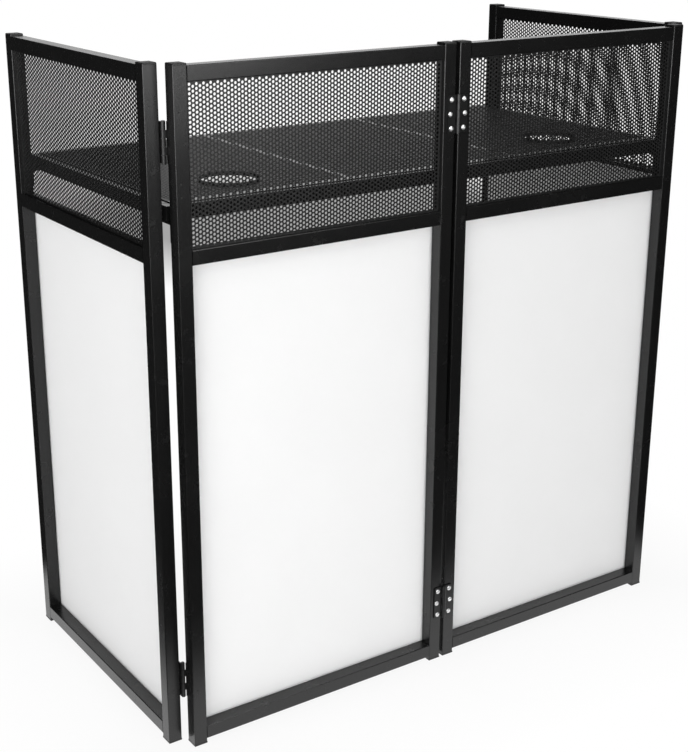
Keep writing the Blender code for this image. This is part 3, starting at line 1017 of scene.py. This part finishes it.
class FACADE_OT_stage(bpy.types.Operator):
    """Set the floor, the lamps, the white surround and the camera."""

    bl_idname = "facade.stage"
    bl_label = "Stage and Camera"

    camera_x: length_property("Camera X", -1.53448)
    camera_y: length_property("Camera Y", -2.16545)
    camera_z: length_property("Camera Z", 1.4394)
    yaw: bpy.props.FloatProperty(name="Camera yaw", default=-0.58533, unit="ROTATION")
    pitch: bpy.props.FloatProperty(name="Camera pitch", default=-0.32055, unit="ROTATION")
    roll: bpy.props.FloatProperty(name="Camera roll", default=-0.00165, unit="ROTATION")
    lens: bpy.props.FloatProperty(name="Lens", default=66.82)
    shift_x: bpy.props.FloatProperty(name="Shift X", default=0.03484)
    shift_y: bpy.props.FloatProperty(name="Shift Y", default=-0.03641)
    floor_drop: length_property("Floor below feet", 0.0005)
    # Painted shade: a soft grey patch on the floor behind the object, seen only by the camera, in place of
    # floor lying in shade
    painted_shade_x: length_property("Grey floor behind, X", 1.95)
    painted_shade_y: length_property("Grey floor behind, Y", 3.05)
    painted_shade_radius: length_property("Grey floor radius", 0.8)
    painted_shade_edge: length_property("Soft edge of grey floor", 0.55)
    painted_shade_grey: bpy.props.FloatProperty(name="Shade of grey floor", default=0.38)
    # Glow of the painted pool of light on the floor near the object, seen only in gloss
    painted_pool_glow: bpy.props.FloatProperty(name="Lit floor in gloss", default=1.18)
    ambient: bpy.props.FloatProperty(name="Soft light all round", default=0.36)
    dark: bpy.props.FloatProperty(name="Surround in gloss", default=0.03)

    def execute(self, context):
        self.floor()
        self.surround(context.scene)
        self.lamps()
        self.camera(context.scene)
        return {"FINISHED"}

    def floor(self):
        """A wide pale floor: white to the camera, with a soft shadow and a painted patch of shade behind
        the object, and a painted pool of light near the object that glows only in gloss.
        """
        put_down_tools()
        bpy.ops.mesh.primitive_plane_add(size=24, location=(0, 0, FLOOR_Z - self.floor_drop))
        floor = named(bpy.context.object, "studio_floor")
        finish = Finish("studio_floor", colours().floor, 0.9, specular=0.1)
        place = finish.place()
        across, along = finish.part_of(place, 0), finish.part_of(place, 1)
        camera = finish.node("ShaderNodeLightPath", {}, {}, "Is Camera Ray")
        gloss = finish.node("ShaderNodeLightPath", {}, {}, "Is Glossy Ray")
        # Painted pool of light: near the object the floor glows for glossy rays, so the tubes reflect a lit
        # floor; beyond it the floor shows dark in gloss
        lit_side, dark_side = 0.645, 0.74
        lit_front, dark_front = -0.42, -0.59
        lit_back, dark_back = 0.45, 0.53
        lit = finish.ramp(abs(across), dark_side, lit_side)
        lit = lit * finish.ramp(along, dark_front, lit_front) * finish.ramp(along, dark_back, lit_back)
        painted_pool_in_gloss = self.glow(finish, finish.blend(lit, grey(self.dark), grey(self.painted_pool_glow)))
        wider_than_deep, shadow_end, white_start, least_white = 0.29, 0.6, 0.9, 0.9
        from_object = abs(across).maths("MAXIMUM", abs(across), abs(along) + wider_than_deep)
        whiteness = finish.ramp(from_object, shadow_end, white_start) * (1 - least_white) + least_white
        # Painted shade behind the object: the camera sees the floor grey inside a soft-edged disc and white
        # beyond it
        side, back = across - self.painted_shade_x, along - self.painted_shade_y
        distance = (side * side + back * back) ** 0.5
        beyond = finish.ramp(distance, self.painted_shade_radius, self.painted_shade_radius + self.painted_shade_edge)
        white = self.glow(finish, finish.blend(beyond, grey(self.painted_shade_grey), grey(1.0)))
        plain = Signal(finish, finish.shader.outputs[0])
        seen = self.mixed(finish, camera * whiteness, plain, white)
        # Glossy rays see the painted pool of light instead of the floor's own shading
        seen = self.mixed(finish, gloss, seen, painted_pool_in_gloss)
        output = finish.tree.nodes["Material Output"]
        finish.tree.links.new(seen.socket, output.inputs["Surface"])
        floor.data.materials.append(finish.material)

    def glow(self, finish, colour):
        return finish.node("ShaderNodeEmission", {}, {"Color": colour})

    def mixed(self, finish, amount, first, second):
        return finish.node("ShaderNodeMixShader", {}, {0: amount, 1: first, 2: second})

    def surround(self, scene):
        """White to the camera, dark to gloss and a soft grey light to everything else."""
        world = bpy.data.worlds.new("studio")
        world.use_nodes = True
        scene.world = world
        tree = world.node_tree
        path = tree.nodes.new("ShaderNodeLightPath")
        colour = None
        for ray, shade in (("Is Glossy Ray", self.dark), ("Is Camera Ray", 1.0)):
            mix = tree.nodes.new("ShaderNodeMix")
            mix.data_type = "RGBA"
            first, second = (mix.inputs[number] for number in MIX_COLOURS)
            first.default_value = grey(self.ambient)
            second.default_value = grey(shade)
            tree.links.new(path.outputs[ray], mix.inputs["Factor"])
            if colour:
                tree.links.new(colour, first)
            colour = mix.outputs[MIX_RESULT]
        tree.links.new(colour, tree.nodes["Background"].inputs["Color"])

    def lamps(self):
        """Softboxes and fills that light the object, and reflectors that only show in its gloss."""
        self.lamp("front_reflector", (0.62, -3.1, 1.5), (0.62, 0, 1.5), (1.2, 1.5), 29, lights=False)
        self.lamp("left_softbox", (-2.6, -2.1, 1.65), (-0.4, 0, 1.65), (1.5, 2.0), 34, shows=False)
        self.lamp("left_reflector", (-2.5, -2.5, 1.55), (-0.4, -0.3, 1.55), (4.0, 2.2), 165, lights=False)
        self.lamp("top_reflector", (0.4, -2.0, 3.2), (0.2, 0, 0.8), (2.4, 1.6), 48, lights=False)
        self.lamp("overhead", (0, -2.0, 3.2), (0, 0, 0.8), (2.0, 1.6), 8, shows=False)
        self.lamp("back_wall", (2.0, 2.6, 1.7), (0.5, 0, 1.2), (4.6, 2.2), 32)
        self.lamp("low_fill", (-1.2, -3.8, 0.55), (0, 0, 0.45), (3.0, 1.0), 56, shows=False)
        self.lamp("left_fill", (-3.2, -0.4, 1.0), (0, 0, 0.5), (2.4, 2.4), 24.5, shows=False)

    def lamp(self, name, place, aim, size, power, lights=True, shows=True):
        """A square-cornered lamp that the camera doesn't see."""
        lamp = bpy.data.lights.new(name, "AREA")
        lamp.shape = "RECTANGLE"
        lamp.size, lamp.size_y = size
        lamp.energy = power
        holder = bpy.data.objects.new(name, lamp)
        holder.location = place
        holder.rotation_euler = (Vector(aim) - Vector(place)).to_track_quat("-Z", "Y").to_euler()
        holder.visible_camera = False
        holder.visible_diffuse = lights
        holder.visible_glossy = shows
        bpy.context.scene.collection.objects.link(holder)

    def camera(self, scene):
        """The photograph's own viewpoint."""
        eye = bpy.data.cameras.new("photo_camera")
        eye.lens = self.lens
        eye.shift_x = self.shift_x
        eye.shift_y = self.shift_y
        holder = bpy.data.objects.new("photo_camera", eye)
        turn = Matrix.Rotation(self.yaw, 4, "Z") @ Matrix.Rotation(math.pi / 2 + self.pitch, 4, "X")
        turn = turn @ Matrix.Rotation(self.roll, 4, "Z")
        holder.matrix_world = Matrix.Translation((self.camera_x, self.camera_y, self.camera_z)) @ turn
        scene.collection.objects.link(holder)
        scene.camera = holder
        scene.view_settings.view_transform = "Standard"


class FACADE_PT_sidebar(bpy.types.Panel):
    """The dressing steps, in order."""

    bl_idname = "FACADE_PT_sidebar"
    bl_label = "DJ Facade"
    bl_space_type = "VIEW_3D"
    bl_region_type = "UI"
    bl_category = "Facade"

    def draw(self, context):
        for group in (context.scene.facade_sizes, context.scene.facade_colours):
            box = self.layout.box()
            for name in group.__annotations__:
                box.prop(group, name)
        for step in STEPS:
            self.layout.operator(step.bl_idname)


STEPS = (
    FACADE_OT_finishes,
    FACADE_OT_tubes,
    FACADE_OT_caps,
    FACADE_OT_grilles,
    FACADE_OT_trays,
    FACADE_OT_screens,
    FACADE_OT_screws,
    FACADE_OT_stage,
)
CLASSES = (FacadeSizes, FacadeColours) + STEPS + (FACADE_PT_sidebar,)


def register():
    for kind in CLASSES:
        bpy.utils.register_class(kind)
    bpy.types.Scene.facade_sizes = bpy.props.PointerProperty(type=FacadeSizes)
    bpy.types.Scene.facade_colours = bpy.props.PointerProperty(type=FacadeColours)


def unregister():
    del bpy.types.Scene.facade_colours
    del bpy.types.Scene.facade_sizes
    for kind in reversed(CLASSES):
        bpy.utils.unregister_class(kind)


def main():
    register()
    bpy.ops.facade.finishes()
    bpy.ops.facade.tubes()
    bpy.ops.facade.caps()
    bpy.ops.facade.grilles()
    bpy.ops.facade.trays()
    bpy.ops.facade.screens()
    bpy.ops.facade.screws()
    bpy.ops.facade.stage()


if __name__ == "__main__":
    main()
